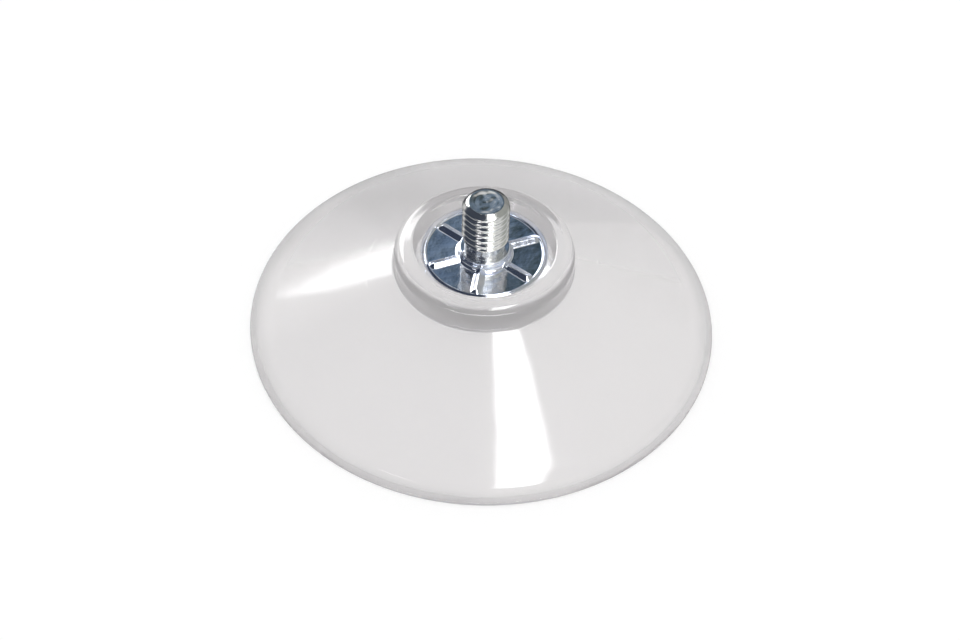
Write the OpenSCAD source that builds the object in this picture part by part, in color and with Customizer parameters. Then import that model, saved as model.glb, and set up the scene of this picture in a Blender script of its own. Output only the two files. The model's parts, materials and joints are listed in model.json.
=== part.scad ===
// Suction cup with a threaded stud. A clear soft moulding, the bell and its boss, stands on its
// rim at z = 0. The boss holds a ribbed metal insert plate, and the plate holds a threaded stud
// that points up along +Z. The moulding is cut on a cylinder into bell and boss, because the bell
// flattens while the boss travels down. Sizes are in millimetres.

/* [Bell] */
// Diameter of the rim that seals on the surface
rim_d = 80; // [78:1:84]
// Radius of the rounded outer edge of the rim
rim_edge_r = 0.95; // [0.8:0.05:1.1]
// Width of the flat sealing face under the rim
seal_w = 0.85; // [0.5:0.05:1.2]
// Slope of the bell, in degrees
bell_slope = 28; // [27:0.5:29]
// Thickness of the bell, square to its slope
wall_t = 2.6; // [2.4:0.05:2.8]
// Width of the thin sealing lip, from the sealing face inwards
lip_w = 3; // [2:0.1:4]
// Diameter of the flat ceiling of the hollow
ceiling_d = 28.8; // [26:0.2:29.2]

/* [Boss] */
// Diameter of the boss
boss_d = 30.4; // [29.4:0.1:31.4]
// Height of the top of the boss above the surface
boss_top = 19.3; // [19.1:0.1:20.3]
// Radius of the rounded top edge of the boss
boss_edge_r = 2; // [1.4:0.1:2.1]
// Diameter of the flat ring on top of the boss
boss_flat_d = 24.6; // [24.6:0.2:26]
// Fall of the top of the boss outside its flat ring, in degrees
boss_fall = 9; // [4:1:12]
// Radial overlap of the rim of the pocket that holds the plate down
hold_overlap = 0.45; // [0.3:0.05:0.6]
// Radial flare of the rim of the pocket towards the top of the boss
hold_flare = 1.4; // [0.8:0.1:1.6]

/* [Insert plate] */
// Diameter of the plate
plate_d = 21.9; // [21:0.1:22.6]
// Thickness of the plate between its ribs
plate_t = 1.6; // [1.4:0.1:1.8]
// Depth of the top of the plate below the top of the boss
plate_depth = 2; // [1.9:0.05:2.2]
// Height of the raised ring around the edge of the plate
ring_h = 0.3; // [0.2:0.05:0.4]
// Width of the raised ring around the edge of the plate
ring_w = 0.6; // [0.4:0.1:1]
// Number of radial ribs on the plate
rib_count = 6; // [4:1:8]
// Width of each rib
rib_w = 1.8; // [1.4:0.1:2.2]
// Height of each rib above the plate
rib_h = 0.55; // [0.4:0.05:0.9]
// Distance from the axis to the outer end of each rib
rib_reach = 9.8; // [9:0.1:10]
// Turn of the first rib from the X axis, in degrees
rib_phase = 23; // [0:1:59]
// Diameter of the hub around the stud
hub_d = 8.6; // [8.4:0.1:9.4]
// Height of the hub above the plate
hub_h = 1.5; // [1.2:0.1:1.8]
// Diameter of the spigot under the plate
spigot_d = 12.4; // [11.6:0.1:13]
// Height of the spigot under the plate
spigot_h = 1.7; // [1.6:0.1:1.8]

/* [Stud] */
// Nominal diameter of the thread
thread_d = 8; // [8:1:8]
// Length of the full thread
thread_l = 7.8; // [7:0.1:9]
// Diameter of the plain neck under the thread
neck_d = 6.7; // [6.4:0.1:6.8]
// Length of the plain neck between hub and thread
neck_l = 2; // [1.6:0.1:2.4]
// Height of the chamfer at the free end
chamfer_h = 0.6; // [0.5:0.05:0.8]
// Diameter of the flat at the free end
end_d = 5.9; // [5.4:0.1:6.2]
// Depth of the hollow in the free end
dimple_h = 0.35; // [0.2:0.05:0.5]
// Diameter of the head that holds the stud in the plate
head_d = 9.2; // [8.6:0.1:9.6]
// Thickness of the head
head_t = 1.2; // [1:0.1:1.3]

/* [Hidden] */
$fn = 180;

// Gap between the two halves of the cut moulding, and between the plate and its pocket
fit_gap = 0.05;
// Gap between the stud and its seat in the plate
seat_gap = 0.02;

// Bell and hollow
boss_r = boss_d / 2;
cut_r = boss_r + fit_gap;
edge_cx = rim_d / 2 - rim_edge_r;
seal_in_r = edge_cx - seal_w;
tangent_r = edge_cx + rim_edge_r * sin(bell_slope);
tangent_z = rim_edge_r + rim_edge_r * cos(bell_slope);
lip_in_r = seal_in_r - lip_w;
ceiling_r = ceiling_d / 2;
function outside_z(r) = tangent_z + (tangent_r - r) * tan(bell_slope);
function hollow_z(r) = outside_z(r) - wall_t / cos(bell_slope);

// Top of the boss: flat ring, then a slight fall to the rounded edge
flat_r = boss_flat_d / 2;
top_edge_cx = boss_r - boss_edge_r;
top_edge_cz = boss_top - (top_edge_cx - flat_r) * tan(boss_fall) - boss_edge_r / cos(boss_fall);

// Plate and its pocket
plate_r = plate_d / 2;
plate_top = boss_top - plate_depth;
plate_bottom = plate_top - plate_t;
spigot_bottom = plate_bottom - spigot_h;
spigot_r = spigot_d / 2;
hub_r = hub_d / 2;
hub_top = plate_top + hub_h;
ring_top = plate_top + ring_h;
hold_r = plate_r - hold_overlap;
pocket_r = plate_r + fit_gap;
pocket_top = ring_top + fit_gap;

// Stud
neck_r = neck_d / 2;
head_r = head_d / 2;
head_top = spigot_bottom + head_t;
thread_bottom = hub_top + neck_l;
thread_top = thread_bottom + thread_l;
stud_top = thread_top + chamfer_h;

// Round blend of radius r centred at a point of a section
module section_round(r, at) {
    translate(at) circle(r);
}

// The bell, from the sealing rim up to the boss
module cup_bell() {
    color([0.86, 0.86, 0.88, 0.4])
    rotate_extrude() {
        polygon([
            [cut_r, hollow_z(cut_r)],
            [lip_in_r, hollow_z(lip_in_r)],
            [seal_in_r, 0],
            [edge_cx, 0],
            [edge_cx, rim_edge_r],
            [tangent_r, tangent_z],
            [cut_r, outside_z(cut_r)]
        ]);
        section_round(rim_edge_r, [edge_cx, rim_edge_r]);
    }
}

// The pocket for the plate and its spigot, open at the top through its holding rim
module boss_pocket_section() {
    polygon([
        [0, spigot_bottom - fit_gap],
        [spigot_r + fit_gap, spigot_bottom - fit_gap],
        [spigot_r + fit_gap, plate_bottom - fit_gap],
        [pocket_r, plate_bottom - fit_gap],
        [pocket_r, pocket_top],
        [hold_r, pocket_top],
        [hold_r + hold_flare, boss_top],
        [hold_r + hold_flare, boss_top + 1],
        [0, boss_top + 1]
    ]);
}

// The boss, with the ceiling of the hollow under it and the pocket in its top
module cup_boss() {
    color([0.88, 0.88, 0.9, 0.4])
    rotate_extrude() difference() {
        union() {
            polygon([
                [0, hollow_z(ceiling_r)],
                [ceiling_r, hollow_z(ceiling_r)],
                [boss_r, hollow_z(boss_r)],
                [boss_r, top_edge_cz],
                [top_edge_cx, top_edge_cz],
                [top_edge_cx + boss_edge_r * sin(boss_fall), top_edge_cz + boss_edge_r * cos(boss_fall)],
                [flat_r, boss_top],
                [0, boss_top]
            ]);
            section_round(boss_edge_r, [top_edge_cx, top_edge_cz]);
        }
        boss_pocket_section();
    }
}

// One radial rib along +X, with a round outer end, sunk a little into plate and hub
module rib() {
    sink = 0.2;
    straight = rib_reach - rib_w / 2;
    translate([0, 0, plate_top - sink]) {
        translate([hub_r - sink, -rib_w / 2, 0])
            cube([straight - hub_r + sink, rib_w, rib_h + sink]);
        translate([straight, 0, 0]) cylinder(d = rib_w, h = rib_h + sink);
    }
}

// The ribbed plate, with its raised ring, its hub and the spigot that takes the stud's head
module insert_plate() {
    bore_r = neck_r + seat_gap;
    seat_r = head_r + seat_gap;
    seat_top = head_top + seat_gap;
    color([0.72, 0.75, 0.8]) {
        rotate_extrude() polygon([
            [seat_r, spigot_bottom],
            [spigot_r, spigot_bottom],
            [spigot_r, plate_bottom],
            [plate_r, plate_bottom],
            [plate_r, ring_top],
            [plate_r - ring_w, ring_top],
            [plate_r - ring_w, plate_top],
            [hub_r, plate_top],
            [hub_r, hub_top],
            [bore_r, hub_top],
            [bore_r, seat_top],
            [seat_r, seat_top]
        ]);
        for (i = [0 : rib_count - 1])
            rotate([0, 0, rib_phase + i * 360 / rib_count]) rib();
    }
}

// The stud: head in the spigot, plain neck through the hub, thread, chamfer and hollow free end
module threaded_stud() {
    thread_r = thread_d / 2;
    end_r = end_d / 2;
    color([0.78, 0.8, 0.82])
    rotate_extrude() polygon([
        [0, spigot_bottom],
        [head_r, spigot_bottom],
        [head_r, head_top],
        [neck_r, head_top],
        [neck_r, thread_bottom],
        [thread_r, thread_bottom],
        [thread_r, thread_top],
        [end_r, stud_top],
        [0, stud_top - dimple_h]
    ]);
}

cup_bell();
cup_boss();
insert_plate();
threaded_stud();
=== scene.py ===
"""Clear suction cup with a ribbed metal insert and a threaded stud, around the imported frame."""

import json
import math

import bpy
import numpy as np
from mathutils import Matrix, Vector, noise


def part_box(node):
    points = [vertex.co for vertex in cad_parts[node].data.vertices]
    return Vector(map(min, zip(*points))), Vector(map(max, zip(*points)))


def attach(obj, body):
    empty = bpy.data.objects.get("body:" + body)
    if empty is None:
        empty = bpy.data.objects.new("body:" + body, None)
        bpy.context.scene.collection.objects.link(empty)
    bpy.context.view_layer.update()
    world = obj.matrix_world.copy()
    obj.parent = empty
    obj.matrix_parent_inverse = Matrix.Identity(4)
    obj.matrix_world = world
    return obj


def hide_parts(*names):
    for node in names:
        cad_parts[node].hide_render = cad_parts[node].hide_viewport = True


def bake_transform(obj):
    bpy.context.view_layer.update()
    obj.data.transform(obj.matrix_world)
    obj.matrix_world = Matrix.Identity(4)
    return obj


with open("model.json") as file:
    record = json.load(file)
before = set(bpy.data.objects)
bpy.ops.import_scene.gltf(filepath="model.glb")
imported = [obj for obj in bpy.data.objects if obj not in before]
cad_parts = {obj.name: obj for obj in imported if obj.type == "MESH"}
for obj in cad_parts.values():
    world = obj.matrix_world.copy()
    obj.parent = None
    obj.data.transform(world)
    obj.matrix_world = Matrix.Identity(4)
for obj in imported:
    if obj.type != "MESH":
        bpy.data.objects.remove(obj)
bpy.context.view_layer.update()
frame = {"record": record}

# ---------------------------------------------------------------- dimensions, in millimetres

MM = 0.001


def node_box(node):
    """Outer radius, lowest and highest z of a CAD node, in millimetres."""
    low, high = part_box(node)
    return high.x / MM, low.z / MM, high.z / MM


rim_r, _, _ = node_box("cup_bell")
boss_r, _, boss_top = node_box("cup_boss")
plate_r, spigot_bottom, hub_top = node_box("insert_plate")
head_r, _, stud_top = node_box("threaded_stud")
thread_r = frame["record"]["mounts"][0]["dims"]["r_mm"]
thread_l = frame["record"]["mounts"][0]["dims"]["length_mm"]

# Cup moulding
BELL_SLOPE = math.radians(28)
RIM_EDGE_R = 0.95        # the rounded edge of the CAD rim, which sets the height of the bell
RIM_FALL_W = 3.2         # the outside gets a little steeper this far in from the rim
RIM_FALL = math.radians(32)
RIM_BEVEL_W = 1.6        # and ends in a bevel
RIM_BEVEL = math.radians(45)
SEAL_W = 0.85            # flat sealing face under the rim
WALL_T = 2.6             # wall of the bell, square to its surface
CEILING_R = 14.4         # flat ceiling of the hollow
LIP_W = 3.0              # sealing lip: the underside is flatter this far in from the seal
BOSS_EDGE_R = 2.0        # rounded top edge of the boss
BOSS_ROOT_R = 0.8        # fillet where the boss meets the bell
BOSS_CREST_R = 12.1      # the top of the boss is highest here
BOSS_FALL = math.radians(9)  # and slopes down outside it
HOLD_OVERLAP = 0.45      # the pocket's rim reaches this far over the plate, and opens to the crest
FIT_GAP = 0.05           # air between plate and moulding
MARK_R = 19.8            # faint ring that the mould leaves on the bell
MARK_W, MARK_DEPTH = 0.25, 0.004
CUP_COLUMNS = 288        # mesh columns round the axis

# Insert plate
PLATE_DEPTH = 2.0        # below the top of the boss
PLATE_T = 1.6
RING_H, RING_W = 0.3, 1.15
RING_RISE_W, RING_FLAT_W = 0.12, 0.08  # inner side and top of the edge ring
RING_BEVEL_W, RING_BEVEL = 0.65, math.radians(31)
RING_OUTER_DROP = 0.45   # the bevel runs on, steeper, to this far below the ring's top
RIB_COUNT, RIB_H = 6, 0.55
RIB_SLOPE = 0.66         # fall of a rib's sides
RIB_CREST, RIB_FOOT = 0.10, 0.05  # rounding along the top of a rib and where it meets the plate
RIB_REACH, RIB_PHASE = 9.8, 23.0
HUB_R = 4.3
HUB_LAND_W = 0.3         # the ribs stop at this distance from the bore
GROOVE_DROP = 0.55       # a groove round the hub, below its top
GROOVE_HALF_H, GROOVE_DEPTH = 0.12, 0.15
MERGE_POWER = 3          # ribs and hub run into each other, more sharply with a higher power
SPIGOT_R = 6.2
PLATE_COLUMNS = 540

# Stud
PITCH = 1.25
THREAD_DEPTH = 0.5
THREAD_CREST_GAP = 0.05  # the rolled crests stay this far inside the nominal size
THREAD_ROOT, THREAD_FLANK = 0.10, 0.82  # flat root and flank, as shares of half a pitch
THREAD_SOFTNESS = 0.4    # rounding of root and crest, from 0 to 1
RUN_OUT_SLOPE = 1.1      # growth in radius of the first turn, for each millimetre of height
ROWS_PER_TURN = 22
NECK_R = 3.35
CHAMFER_H = 0.6
END_R = 2.95             # flat of the free end
END_BREAK_W, END_BREAK_H = 0.03, 0.06  # its broken edge
END_LAND_W = 0.3         # its flat land, outside the hollow
END_SLOPE_W = 1.0        # half of the hollow's depth is reached this far in
DIMPLE_H = 0.14          # depth of the hollow
SWIRL_H, SWIRL_SCALE = 0.06, 0.9  # unevenness of the hollow, and its features per millimetre
SWIRL_INSET, SWIRL_FADE = 0.2, 0.6  # it starts this far in, and is full so much further in
SWIRL_SLICE = 3.7        # where the noise is cut
HEAD_T = 1.2
SEAT_GAP = 0.02          # air between the stud and the plate
STUD_COLUMNS = 160

seal_in_r = rim_r - RIM_EDGE_R - SEAL_W
plate_top = boss_top - PLATE_DEPTH
plate_bottom = plate_top - PLATE_T
ring_top = plate_top + RING_H
pocket_r = plate_r + FIT_GAP
hold_r = plate_r - HOLD_OVERLAP
thread_top = stud_top - CHAMFER_H
thread_bottom = thread_top - thread_l
head_top = spigot_bottom + HEAD_T

# Height at which the bell's outer side, run on to the full radius, would pass the rim
rim_z = (RIM_EDGE_R * (1 + math.cos(BELL_SLOPE))
         - (RIM_EDGE_R * (1 - math.sin(BELL_SLOPE))) * math.tan(BELL_SLOPE))


def outside_z(r):
    """Height of the bell's outer side at radius r."""
    return rim_z + (rim_r - r) * math.tan(BELL_SLOPE)


wall_drop = WALL_T / math.cos(BELL_SLOPE)
hollow_h = outside_z(CEILING_R) - wall_drop
lip_in_r = seal_in_r - LIP_W
bevel_z = outside_z(rim_r - RIM_FALL_W) - (RIM_FALL_W - RIM_BEVEL_W) * math.tan(RIM_FALL)
boss_edge_z = boss_top - (boss_r - BOSS_CREST_R) * math.tan(BOSS_FALL)


# ---------------------------------------------------------------- outlines and meshes

def rounded(corners, arc_step=12.0, run_step=0.6, hold=0.05, closest=1e-4):
    """A line through corners (r, z, fillet), with each corner rounded by an arc.

    Straight runs get a point close to each end, so that smooth shading stays in the arcs. The
    steps are in degrees along arcs and in millimetres along runs."""
    points = []
    last = len(corners) - 1
    for i, (r, z, fillet) in enumerate(corners):
        here = np.array([r, z])
        if i in (0, last) or fillet <= 0:
            points.append([here])
            continue
        back = np.array(corners[i - 1][:2]) - here
        on = np.array(corners[i + 1][:2]) - here
        back, on = back / np.linalg.norm(back), on / np.linalg.norm(on)
        half = math.acos(max(-1.0, min(1.0, float(back @ on)))) / 2
        reach = fillet / math.tan(half)
        centre = here + (back + on) / np.linalg.norm(back + on) * fillet / math.sin(half)
        start, end = here + back * reach - centre, here + on * reach - centre
        turn = math.pi - 2 * half
        count = max(3, math.ceil(math.degrees(turn) / arc_step))
        arc = []
        for k in range(count + 1):
            t = k / count
            mix = (start * math.sin((1 - t) * turn) + end * math.sin(t * turn)) / math.sin(turn)
            arc.append(centre + mix)
        points.append(arc)
    line = []
    for i, group in enumerate(points):
        if i:
            a, b = points[i - 1][-1], group[0]
            length = float(np.linalg.norm(b - a))
            if length > 4 * hold:
                inner = max(1, math.ceil((length - 2 * hold) / run_step))
                stops = [hold + (length - 2 * hold) * k / inner for k in range(inner + 1)]
                line += [a + (b - a) * s / length for s in stops]
        line += group
    kept = [line[0]]
    for p in line[1:]:
        if np.linalg.norm(p - kept[-1]) > closest:
            kept.append(p)
    return np.array(kept)


def add_mesh(name, vertices, faces, material):
    """A smooth-shaded object from vertices in millimetres."""
    mesh = bpy.data.meshes.new(name)
    mesh.from_pydata((np.asarray(vertices) * MM).tolist(), [], faces)
    mesh.polygons.foreach_set("use_smooth", [True] * len(mesh.polygons))
    mesh.validate()
    mesh.materials.append(material)
    obj = bpy.data.objects.new(name, mesh)
    bpy.context.scene.collection.objects.link(obj)
    return obj


def grid_faces(rows, columns, closed_rows=False):
    """Quads between neighbouring rows of a grid that is closed round its columns."""
    faces = []
    for i in range(rows if closed_rows else rows - 1):
        a, b = i * columns, ((i + 1) % rows) * columns
        for j in range(columns):
            k = (j + 1) % columns
            faces.append((a + j, a + k, b + k, b + j))
    return faces


def turned(points, columns):
    """Vertices of an outline turned about Z: a row of columns for each of its points."""
    angle = np.linspace(0, 2 * math.pi, columns, endpoint=False)
    r, z = points[:, 0][:, None], points[:, 1][:, None]
    return np.stack([r * np.cos(angle), r * np.sin(angle), z + 0 * angle], -1)


def capped(rows, columns, first, last):
    """Vertices and faces of turned rows that close at two points on the axis, first and last."""
    vertices = np.vstack([rows.reshape(-1, 3), [first], [last]])
    count = len(rows) * columns
    faces = grid_faces(len(rows), columns)
    for j in range(columns):
        k = (j + 1) % columns
        faces.append((count, k, j))
        faces.append((count + 1, count - columns + j, count - columns + k))
    return vertices, faces


def face_outwards(obj):
    """Turns all faces so that the solid's volume is positive."""
    mesh = obj.data
    mesh.calc_loop_triangles()
    co = np.array([v.co for v in mesh.vertices])
    tri = np.array([t.vertices[:] for t in mesh.loop_triangles])
    a, b, c = co[tri[:, 0]], co[tri[:, 1]], co[tri[:, 2]]
    if np.einsum("ij,ij->i", a, np.cross(b, c)).sum() < 0:
        mesh.flip_normals()


# ---------------------------------------------------------------- materials

def new_material(name):
    """A material with one Principled shader; returns it with its node tree and shader."""
    material = bpy.data.materials.new(name)
    material.use_nodes = True
    tree = material.node_tree
    return material, tree, tree.nodes["Principled BSDF"]


def noise_node(tree, scale, detail, roughness=0.5):
    """A noise texture on object coordinates; scale is in features per metre."""
    place = tree.nodes.new("ShaderNodeTexCoord")
    texture = tree.nodes.new("ShaderNodeTexNoise")
    texture.inputs["Scale"].default_value = scale
    texture.inputs["Detail"].default_value = detail
    texture.inputs["Roughness"].default_value = roughness
    tree.links.new(place.outputs["Object"], texture.inputs["Vector"])
    return texture.outputs["Fac"]


def ramp(tree, value, stops):
    """A colour ramp over value, with stops (position, colour or grey)."""
    node = tree.nodes.new("ShaderNodeValToRGB")
    elements = node.color_ramp.elements
    while len(elements) < len(stops):
        elements.new(0.5)
    for element, (position, colour) in zip(elements, stops):
        element.position = position
        grey = (colour,) * 3 if isinstance(colour, (int, float)) else colour
        element.color = (*grey, 1)
    tree.links.new(value, node.inputs["Fac"])
    return node.outputs["Color"]


def bump(tree, shader, layers):
    """Stacks bump layers (height, strength, depth in millimetres) onto the shader's normal."""
    normal = None
    for height, strength, depth in layers:
        node = tree.nodes.new("ShaderNodeBump")
        node.inputs["Strength"].default_value = strength
        node.inputs["Distance"].default_value = depth * MM
        tree.links.new(height, node.inputs["Height"])
        if normal is not None:
            tree.links.new(normal, node.inputs["Normal"])
        normal = node.outputs["Normal"]
    tree.links.new(normal, shader.inputs["Normal"])


def clear_pvc():
    """Soft clear PVC: glossy, a little hazy, grey in depth, with the waves of a moulded skin."""
    material, tree, shader = new_material("clear_pvc")
    shader.inputs["Base Color"].default_value = (0.945, 0.932, 0.936, 1)
    shader.inputs["Roughness"].default_value = 0.085
    shader.inputs["IOR"].default_value = 1.53
    shader.inputs["Transmission Weight"].default_value = 0.74
    waves = noise_node(tree, 90, 2)
    skin = noise_node(tree, 900, 3)
    bump(tree, shader, [(waves, 0.10, 0.35), (skin, 0.08, 0.02)])
    volume = tree.nodes.new("ShaderNodeVolumeAbsorption")
    volume.inputs["Color"].default_value = (0.80, 0.79, 0.80, 1)
    volume.inputs["Density"].default_value = 22.0
    output = tree.nodes["Material Output"]
    tree.links.new(volume.outputs["Volume"], output.inputs["Volume"])
    return material


def plated_metal(name, tints, roughness, waves, grain):
    """Bright plating: a mottled tint between two, a roughness between two, and two bump layers.

    Waves and grain are each the scale, strength and depth of a layer."""
    material, tree, shader = new_material(name)
    shader.inputs["Metallic"].default_value = 1.0
    mottle = noise_node(tree, 260, 4, 0.6)
    tint = ramp(tree, mottle, [(0.3, tints[0]), (0.7, tints[1])])
    tree.links.new(tint, shader.inputs["Base Color"])
    patches = noise_node(tree, 700, 5, 0.65)
    gloss = ramp(tree, patches, [(0.3, roughness[0]), (0.75, roughness[1])])
    tree.links.new(gloss, shader.inputs["Roughness"])
    layers = [(noise_node(tree, scale, 3), strength, depth)
              for scale, strength, depth in (waves, grain)]
    bump(tree, shader, layers)
    return material


# ---------------------------------------------------------------- cup

def make_cup(material):
    """The clear moulding in one piece: bell, rim, boss, holding lip and pocket."""
    corners = [    # (r, z, fillet)
        (0, hollow_h, 0),
        (CEILING_R, hollow_h, 2.0),
        (lip_in_r, outside_z(lip_in_r) - wall_drop, 1.5),
        (seal_in_r, 0, 0.3),
        (rim_r, 0, 0.15),
        (rim_r, bevel_z - RIM_BEVEL_W * math.tan(RIM_BEVEL), 0.5),
        (rim_r - RIM_BEVEL_W, bevel_z, 2.0),
        (rim_r - RIM_FALL_W, outside_z(rim_r - RIM_FALL_W), 40.0),
        (MARK_R + MARK_W, outside_z(MARK_R + MARK_W), 0.05),
        (MARK_R, outside_z(MARK_R) - MARK_DEPTH, 0.05),
        (MARK_R - MARK_W, outside_z(MARK_R - MARK_W), 0.05),
        (boss_r, outside_z(boss_r), BOSS_ROOT_R),
        (boss_r, boss_edge_z, BOSS_EDGE_R),
        (BOSS_CREST_R, boss_top, 0.6),
        (hold_r, ring_top + FIT_GAP, 0.08),
        (pocket_r, ring_top + FIT_GAP, 0.1),
        (pocket_r, plate_bottom - FIT_GAP, 0.1),
        (SPIGOT_R + FIT_GAP, plate_bottom - FIT_GAP, 0.1),
        (SPIGOT_R + FIT_GAP, spigot_bottom - FIT_GAP, 0.1),
        (0, spigot_bottom - FIT_GAP, 0),
    ]
    rows = turned(rounded(corners)[1:-1], CUP_COLUMNS)
    vertices, faces = capped(rows, CUP_COLUMNS, (0, 0, hollow_h), (0, 0, spigot_bottom - FIT_GAP))
    cup = add_mesh("cup_moulding", vertices, faces, material)
    face_outwards(cup)
    return cup


# ---------------------------------------------------------------- insert plate

def rib_height(x, y):
    """Height of the radial ribs above the plate at points x, y: rounded gables with round ends."""
    nothing = -1.0
    height = np.full_like(x, nothing)
    end = RIB_REACH - RIB_H / RIB_SLOPE
    for i in range(RIB_COUNT):
        angle = math.radians(RIB_PHASE + i * 360 / RIB_COUNT)
        along = x * math.cos(angle) + y * math.sin(angle)
        across = -x * math.sin(angle) + y * math.cos(angle)
        away = np.hypot(np.maximum(along - end, 0), across)
        gable = RIB_H - RIB_SLOPE * (np.hypot(away, RIB_CREST) - RIB_CREST)
        height = np.maximum(height, np.where(along > 0, gable, nothing))
    # What lies below the plate is cut off softly, over about the width of RIB_FOOT
    return (height + np.hypot(height, RIB_FOOT)) / 2 - 0.5 * (np.hypot(nothing, RIB_FOOT) + nothing)


def make_plate(material):
    """The cast plate: hub with ribs that grow out of it, edge ring, spigot and the head's seat."""
    bore_r, seat_r = NECK_R + SEAT_GAP, head_r + SEAT_GAP
    groove = hub_top - GROOVE_DROP
    ring_r = plate_r - RING_W
    bevel_r = ring_r + RING_RISE_W + RING_FLAT_W
    corners = [    # (r, z, fillet)
        (bore_r, hub_top, 0),
        (HUB_R, hub_top, 0.25),
        (HUB_R, groove + GROOVE_HALF_H, 0.05),
        (HUB_R - GROOVE_DEPTH, groove, 0.05),
        (HUB_R, groove - GROOVE_HALF_H, 0.05),
        (HUB_R, plate_top, 0.7),
        (ring_r, plate_top, 0.25),
        (ring_r + RING_RISE_W, ring_top, 0.08),
        (bevel_r, ring_top, 0.1),
        (bevel_r + RING_BEVEL_W, ring_top - RING_BEVEL_W * math.tan(RING_BEVEL), 0.1),
        (plate_r, ring_top - RING_OUTER_DROP, 0.08),
        (plate_r, plate_bottom, 0.12),
        (SPIGOT_R, plate_bottom, 0.15),
        (SPIGOT_R, spigot_bottom, 0.15),
        (seat_r, spigot_bottom, 0.05),
        (seat_r, head_top + SEAT_GAP, 0.05),
        (bore_r, head_top + SEAT_GAP, 0.05),
        (bore_r, hub_top, 0),
    ]
    # The outline is closed: its last point is its first one again
    rows = turned(rounded(corners, run_step=0.09)[:-1], PLATE_COLUMNS)
    x, y, z = rows[..., 0], rows[..., 1], rows[..., 2]
    away = np.hypot(x, y)
    rounding = 1e-3
    ribbed = (z > plate_top - rounding) & (away < ring_r) & (away > bore_r + HUB_LAND_W)
    base = np.where(ribbed, z - plate_top, 0).clip(0)
    ribs = np.where(ribbed, rib_height(x, y), 0)
    merged = (base ** MERGE_POWER + ribs ** MERGE_POWER) ** (1 / MERGE_POWER)
    rows[..., 2] = np.where(ribbed, plate_top + merged, z)
    faces = grid_faces(len(rows), PLATE_COLUMNS, closed_rows=True)
    plate = add_mesh("ribbed_plate", rows.reshape(-1, 3), faces, material)
    face_outwards(plate)
    return plate


# ---------------------------------------------------------------- stud

def thread_radius(angle, z):
    """Radius of the rolled right-hand thread at an angle and a height, with run-out and chamfer."""
    turn = (z - thread_bottom) / PITCH - angle / (2 * math.pi)
    ridge = 1 - np.abs(2 * (turn % 1.0) - 1)
    t = np.clip((ridge - THREAD_ROOT) / THREAD_FLANK, 0, 1)
    soft = (1 - THREAD_SOFTNESS) * t + THREAD_SOFTNESS * t * t * (3 - 2 * t)
    crest = thread_r - THREAD_CREST_GAP
    radius = crest - THREAD_DEPTH * (1 - soft)
    run_out = NECK_R + RUN_OUT_SLOPE * np.maximum(z - thread_bottom, 0)
    chamfer = END_R + (stud_top - z) * (crest - END_R) / CHAMFER_H
    return np.minimum(radius, np.minimum(run_out, chamfer))


def make_stud(material):
    """The stud: flat head, plain neck, rolled thread with chamfer, and a hollow free end."""
    shank = rounded([    # (r, z, fillet)
        (0, spigot_bottom, 0),
        (head_r, spigot_bottom, 0.15),
        (head_r, head_top, 0.15),
        (NECK_R, head_top, 0.1),
        (NECK_R, thread_bottom, 0),
    ])
    lower = turned(shank[1:-1], STUD_COLUMNS)

    threads = []
    angle = np.linspace(0, 2 * math.pi, STUD_COLUMNS, endpoint=False)
    row_count = int(thread_l / PITCH * ROWS_PER_TURN)
    for z in np.linspace(thread_bottom, stud_top - END_BREAK_H, row_count):
        r = thread_radius(angle, z)
        threads.append(np.stack([r * np.cos(angle), r * np.sin(angle), z + 0 * angle], -1))

    end = rounded([
        (END_R, stud_top - END_BREAK_H, 0),
        (END_R - END_BREAK_W, stud_top, 0.03),
        (END_R - END_LAND_W, stud_top, 0.2),
        (END_R - END_SLOPE_W, stud_top - DIMPLE_H * 0.5, 1.5),
        (0, stud_top - DIMPLE_H, 0),
    ], run_step=0.15)
    upper = turned(end[1:-1], STUD_COLUMNS)
    for index in np.ndindex(upper.shape[:2]):
        x, y, _ = upper[index]
        inside = (END_R - SWIRL_INSET - math.hypot(x, y)) / SWIRL_FADE
        swirl = noise.noise(Vector((x * SWIRL_SCALE, y * SWIRL_SCALE, SWIRL_SLICE)))
        upper[index][2] += SWIRL_H * min(1.0, max(0.0, inside)) * swirl

    rows = np.concatenate([lower, np.array(threads), upper])
    vertices, faces = capped(rows, STUD_COLUMNS, (0, 0, spigot_bottom), (0, 0, stud_top - DIMPLE_H))
    stud = add_mesh("rolled_stud", vertices, faces, material)
    face_outwards(stud)
    return stud


# ---------------------------------------------------------------- studio

THROUGH_TONE = 0.25      # how much of the studio's tones shows through the clear moulding
FLOOR_Z, FLOOR_HALF = -0.02, 3000  # in millimetres, a hair under the rim
MIX_A, MIX_B, MIX_RESULT = 6, 7, 2  # colour sockets of a Mix node, whose names aren't unique


def direction(azimuth, elevation):
    """Unit vector towards an azimuth (counter-clockwise from +X) and an elevation, in degrees."""
    a, e = math.radians(azimuth), math.radians(elevation)
    return Vector((math.cos(a) * math.cos(e), math.sin(a) * math.cos(e), math.sin(e)))


def add_square(name, half, z, material):
    """A level square at height z, in millimetres."""
    corners = [(-half, -half, z), (half, -half, z), (half, half, z), (-half, half, z)]
    return add_mesh(name, corners, [(0, 1, 2, 3)], material)


def edge_mask(tree, value, start, end, high=1.0):
    """A smooth step from 0, where value is start, to high, where it is end."""
    step = tree.nodes.new("ShaderNodeMapRange")
    step.interpolation_type = "SMOOTHSTEP"
    step.inputs["From Min"].default_value = start
    step.inputs["From Max"].default_value = end
    step.inputs["To Max"].default_value = high
    tree.links.new(value, step.inputs["Value"])
    return step.outputs["Result"]


def product(tree, values):
    """The product of several values."""
    result = values[0]
    for value in values[1:]:
        both = tree.nodes.new("ShaderNodeMath")
        both.operation = "MULTIPLY"
        tree.links.new(result, both.inputs[0])
        tree.links.new(value, both.inputs[1])
        result = both.outputs[0]
    return result


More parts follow.
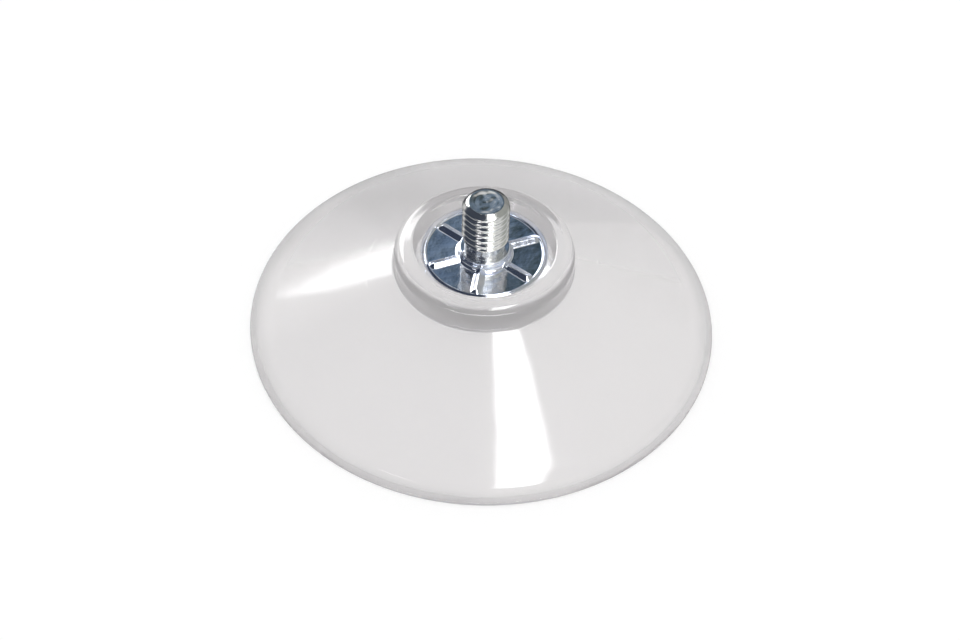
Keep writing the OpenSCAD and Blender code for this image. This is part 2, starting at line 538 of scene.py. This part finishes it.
def make_card(name, towards, distance, size, radiance, edges, facing=None, through=False):
    """A soft box that shows only in reflections, in the direction towards, at a distance.

    It faces the cup or along facing. Size and distance are in metres. Each edge is the angle of
    its outward direction, its distance from the centre and the width of its fade, and the light
    is what lies inside all edges. Only a card with through is also seen by rays that leave the
    clear moulding."""
    material = bpy.data.materials.new(name)
    material.use_nodes = True
    tree = material.node_tree
    tree.nodes.remove(tree.nodes["Principled BSDF"])
    place = tree.nodes.new("ShaderNodeTexCoord")
    masks = []
    for angle, away, fade in edges:
        across = tree.nodes.new("ShaderNodeVectorMath")
        across.operation = "DOT_PRODUCT"
        across.inputs[1].default_value = direction(angle, 0)
        tree.links.new(place.outputs["Object"], across.inputs[0])
        masks.append(edge_mask(tree, across.outputs["Value"], away, away - fade))
    light = tree.nodes.new("ShaderNodeEmission")
    light.inputs["Strength"].default_value = radiance
    clear = tree.nodes.new("ShaderNodeBsdfTransparent")
    mix = tree.nodes.new("ShaderNodeMixShader")
    tree.links.new(product(tree, masks), mix.inputs[0])
    tree.links.new(clear.outputs[0], mix.inputs[1])
    tree.links.new(light.outputs[0], mix.inputs[2])
    tree.links.new(mix.outputs[0], tree.nodes["Material Output"].inputs["Surface"])
    card = add_square(name, size / 2 / MM, 0, material)
    card.location = towards * distance
    card.rotation_euler = Vector(facing or -towards).to_track_quat("Z", "Y").to_euler()
    for ray in ("camera", "diffuse", "shadow"):
        setattr(card, "visible_" + ray, False)
    card.visible_transmission = through


def make_world(zones):
    """A plain white studio for diffuse light. Reflections also see zones of tone in it, and the
    clear moulding lets them through faintly.

    A zone is a tone and a cap: azimuth, elevation, radius and softness, in degrees."""
    world = bpy.data.worlds.new("studio")
    bpy.context.scene.world = world
    world.use_nodes = True
    tree = world.node_tree
    background = tree.nodes["Background"]
    place = tree.nodes.new("ShaderNodeTexCoord")
    split = tree.nodes.new("ShaderNodeSeparateXYZ")
    tree.links.new(place.outputs["Generated"], split.inputs[0])
    colour = ramp(tree, split.outputs["Z"], [(0.0, 0.45), (0.12, 0.62), (0.3, 0.85), (1.0, 0.8)])
    for tone, (azimuth, elevation, radius, softness) in zones:
        dot = tree.nodes.new("ShaderNodeVectorMath")
        dot.operation = "DOT_PRODUCT"
        dot.inputs[1].default_value = direction(azimuth, elevation)
        tree.links.new(place.outputs["Generated"], dot.inputs[0])
        outer, inner = math.radians(radius + softness), math.radians(max(radius - softness, 0))
        cap = edge_mask(tree, dot.outputs["Value"], math.cos(outer), math.cos(inner))
        mix = tree.nodes.new("ShaderNodeMix")
        mix.data_type = "RGBA"
        tree.links.new(cap, mix.inputs["Factor"])
        tree.links.new(colour, mix.inputs[MIX_A])
        mix.inputs[MIX_B].default_value = (*tone, 1)
        colour = mix.outputs[MIX_RESULT]
    # The zones show fully by reflection, faintly by refraction, and not to camera or diffuse rays
    path = tree.nodes.new("ShaderNodeLightPath")
    not_diffuse = edge_mask(tree, path.outputs["Diffuse Depth"], 1, 0)
    not_camera = edge_mask(tree, path.outputs["Is Camera Ray"], 1, 0)
    faint = tree.nodes.new("ShaderNodeMapRange")
    faint.inputs["To Min"].default_value = 1
    faint.inputs["To Max"].default_value = THROUGH_TONE
    tree.links.new(path.outputs["Transmission Depth"], faint.inputs["Value"])
    share = product(tree, [not_diffuse, faint.outputs["Result"], not_camera])
    seen = tree.nodes.new("ShaderNodeMix")
    seen.data_type = "RGBA"
    tree.links.new(share, seen.inputs["Factor"])
    seen.inputs[MIX_A].default_value = (1.0, 1.0, 1.0, 1)
    tree.links.new(colour, seen.inputs[MIX_B])
    tree.links.new(seen.outputs[MIX_RESULT], background.inputs["Color"])
    background.inputs["Strength"].default_value = 1.0


def make_floor(painted_shades):
    """A plain pale floor under the cup. Mirrors show it darker, above all behind the cup.

    Painted shades darken what the moulding lets through, as painted shadow on the floor: centre x
    and y, the radii between which a painted shade sets in, in millimetres, and how dark it gets."""
    material, tree, shader = new_material("pale_floor")
    shader.inputs["Base Color"].default_value = (0.5, 0.5, 0.5, 1)
    shader.inputs["Roughness"].default_value = 0.9
    shader.inputs["Specular IOR Level"].default_value = 0.0
    shader.inputs["Emission Color"].default_value = (1, 1, 1, 1)
    shader.inputs["Emission Strength"].default_value = 0.52
    place = tree.nodes.new("ShaderNodeTexCoord")
    split = tree.nodes.new("ShaderNodeSeparateXYZ")
    tree.links.new(place.outputs["Object"], split.inputs[0])
    behind = edge_mask(tree, split.outputs["Y"], 20 * MM, 120 * MM)
    tone = ramp(tree, behind, [(0, (0.42, 0.43, 0.44)), (1, (0.05, 0.05, 0.06))])
    mirrored = tree.nodes.new("ShaderNodeEmission")
    tree.links.new(tone, mirrored.inputs["Color"])
    path = tree.nodes.new("ShaderNodeLightPath")
    through = edge_mask(tree, path.outputs["Transmission Depth"], 0, 1)
    lit = shader.outputs[0]
    # Painted shade: the floor is darkened here only for rays through the moulding, standing in for
    # shadow
    for centre_x, centre_y, start, end, darkness in painted_shades:
        away = tree.nodes.new("ShaderNodeVectorMath")
        away.operation = "DISTANCE"
        away.inputs[1].default_value = (centre_x * MM, centre_y * MM, FLOOR_Z * MM)
        tree.links.new(place.outputs["Object"], away.inputs[0])
        mask = edge_mask(tree, away.outputs["Value"], start * MM, end * MM, darkness)
        painted_shade = tree.nodes.new("ShaderNodeMixShader")
        tree.links.new(product(tree, [mask, through]), painted_shade.inputs[0])
        tree.links.new(lit, painted_shade.inputs[1])
        lit = painted_shade.outputs[0]
    not_through = edge_mask(tree, path.outputs["Transmission Depth"], 1, 0)
    mix = tree.nodes.new("ShaderNodeMixShader")
    tree.links.new(product(tree, [path.outputs["Is Glossy Ray"], not_through]), mix.inputs[0])
    tree.links.new(lit, mix.inputs[1])
    tree.links.new(mirrored.outputs[0], mix.inputs[2])
    tree.links.new(mix.outputs[0], tree.nodes["Material Output"].inputs["Surface"])
    add_square("floor", FLOOR_HALF, FLOOR_Z, material)


def make_camera():
    """The viewpoint: in front of the cup and above it, turned a little about its line of sight."""
    elevation, roll = math.radians(47.06), math.radians(2.39)
    distance, look_height = 0.36, 0.010
    aim_x, aim_y = -0.00027, -0.00876    # the point it looks at is a little off the axis
    at = Vector((0, -math.cos(elevation) * distance, look_height + math.sin(elevation) * distance))
    target = Vector((aim_x, aim_y, look_height))
    camera = bpy.data.cameras.new("camera")
    camera.sensor_width = 36
    camera.lens = 79.3
    camera.clip_start, camera.clip_end = 0.01, 20
    obj = bpy.data.objects.new("camera", camera)
    look = (target - at).to_track_quat("-Z", "Y").to_matrix().to_4x4()
    obj.matrix_world = Matrix.Translation(at) @ look @ Matrix.Rotation(roll, 4, "Z")
    bpy.context.scene.collection.objects.link(obj)
    bpy.context.scene.camera = obj


def trapped_light():
    """Lets light bounce often enough to find its way out of the clear moulding."""
    cycles = bpy.context.scene.cycles
    cycles.max_bounces, cycles.glossy_bounces, cycles.transmission_bounces = 24, 16, 16


# ---------------------------------------------------------------- assembly

def assemble():
    """Builds the pieces, sets them on their bodies and hides the plain CAD shapes."""
    cup = make_cup(clear_pvc())
    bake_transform(cup)
    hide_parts("cup_bell", "cup_boss")

    casting = plated_metal("plated_insert", [(0.62, 0.68, 0.80), (0.90, 0.91, 0.94)], (0.07, 0.15),
                           (260, 0.6, 0.13), (1500, 0.10, 0.01))
    plate = make_plate(casting)
    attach(plate, "insert")
    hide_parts("insert_plate")

    steel = plated_metal("plated_stud", [(0.70, 0.71, 0.70), (0.82, 0.82, 0.80)], (0.10, 0.20),
                         (500, 0.12, 0.03), (2600, 0.15, 0.01))
    stud = make_stud(steel)
    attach(stud, "insert")
    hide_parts("threaded_stud")


make_camera()
# The floor, with painted shadow where it is seen through the moulding
make_floor([
    (0, 0, 36.0, 38.8, 0.22),   # painted contact shadow under the rim, all round
    (-18, 29, 11, 4, 0.15),     # painted soft shade at the back left
])
make_world([
    ((0.30, 0.31, 0.33), (-90, 70, 34, 10)),     # grey overhead, on the viewer's side
    ((0.38, 0.39, 0.37), (20, 45, 26, 8)),       # grey on the right
    ((1.0, 1.0, 0.97), (-62, 36, 16, 8)),        # bright in front, a little to the right
    ((0.05, 0.06, 0.085), (205, 38, 50, 8)),     # dark on the left, for the stud's dark side
    ((0.30, 0.30, 0.29), (55, 10, 20, 10)),      # grey low at the back right
    ((0.06, 0.06, 0.08), (104, -2, 20, 8)),      # dark at the horizon behind
    ((0.13, 0.18, 0.25), (86, 42, 14, 2)),       # dark blue behind, which the plate mirrors
    ((0.20, 0.27, 0.37), (95, 47, 5, 5)),        # a paler patch in it
    ((0.03, 0.045, 0.045), (80, 49, 6, 5)),      # and a darker one
])
# The broad highlight on the front of the bell
make_card("overhead_box", direction(-57.8, 63.7), 0.446, 0.4, 10, facing=(0, 0, -1), through=True,
          edges=[(0, 0.067, 0.022), (180, 0.067, 0.022), (90, 0.13, 0.02), (270, 0.13, 0.02)])
# The highlight on the left of the bell
make_card("window", direction(119, 27), 0.8, 0.8, 6.5,
          edges=[(195, 0.266, 0.012), (245, 0.22, 0.06), (0, 0.20, 0.10), (90, 0.232, 0.012)])
# A small highlight on the stud and the boss, from the front left
make_card("side_box", direction(-128, 41), 0.8, 0.5, 5,
          edges=[(0, 0.14, 0.08), (180, 0.14, 0.08), (90, 0.035, 0.02), (270, 0.035, 0.02)])
# The thin lines along the near edge of the boss and on the thread
make_card("front_strip", direction(-90, 6), 0.8, 1.6, 9,
          edges=[(0, 0.75, 0.30), (180, 0.75, 0.30), (90, 0.055, 0.03), (270, 0.055, 0.03)])
assemble()
bpy.context.scene.view_settings.view_transform = "Standard"
trapped_light()
